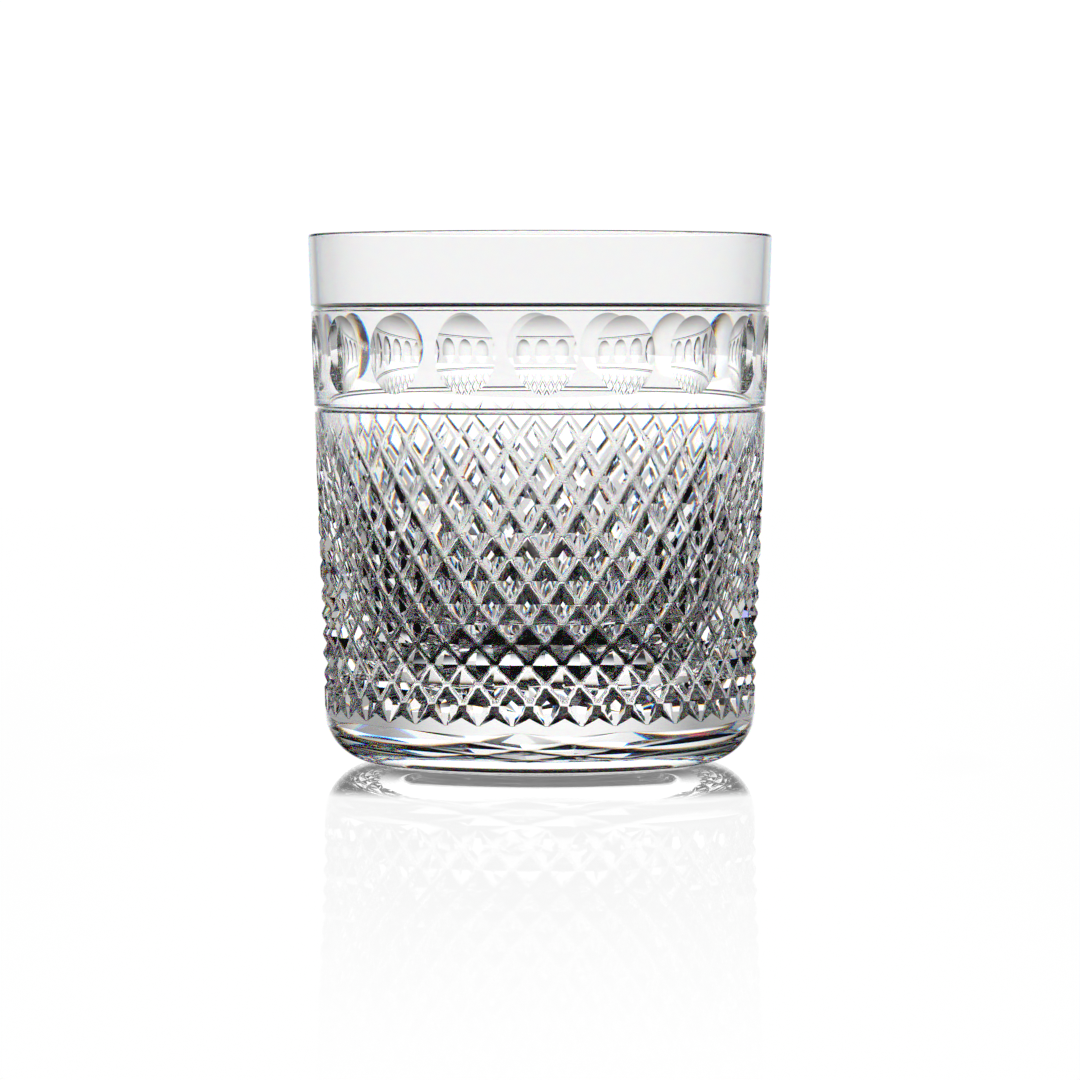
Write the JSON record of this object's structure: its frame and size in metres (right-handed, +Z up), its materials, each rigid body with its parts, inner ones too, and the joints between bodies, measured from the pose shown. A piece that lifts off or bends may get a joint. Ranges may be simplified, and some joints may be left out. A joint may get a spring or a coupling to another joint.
{
  "type": "whiskey tumbler",
  "caption": "Straight-sided cut-crystal whiskey tumbler with a thick base, a band of raised diamonds, a row of round lens cuts and a plain flared rim.",
  "frame": {"origin": "centre of the foot ring, on the plane that the tumbler stands on", "axes": "+Z up along the tumbler's axis from foot to rim; -Y through the middle of one lens cut"},
  "size_m": [0.0862, 0.0862, 0.098],
  "materials": {
    "crystal": "clear polished cut crystal"
  },
  "bodies": {
    "root": {"tumbler": "crystal"}
  },
  "joints": []
}
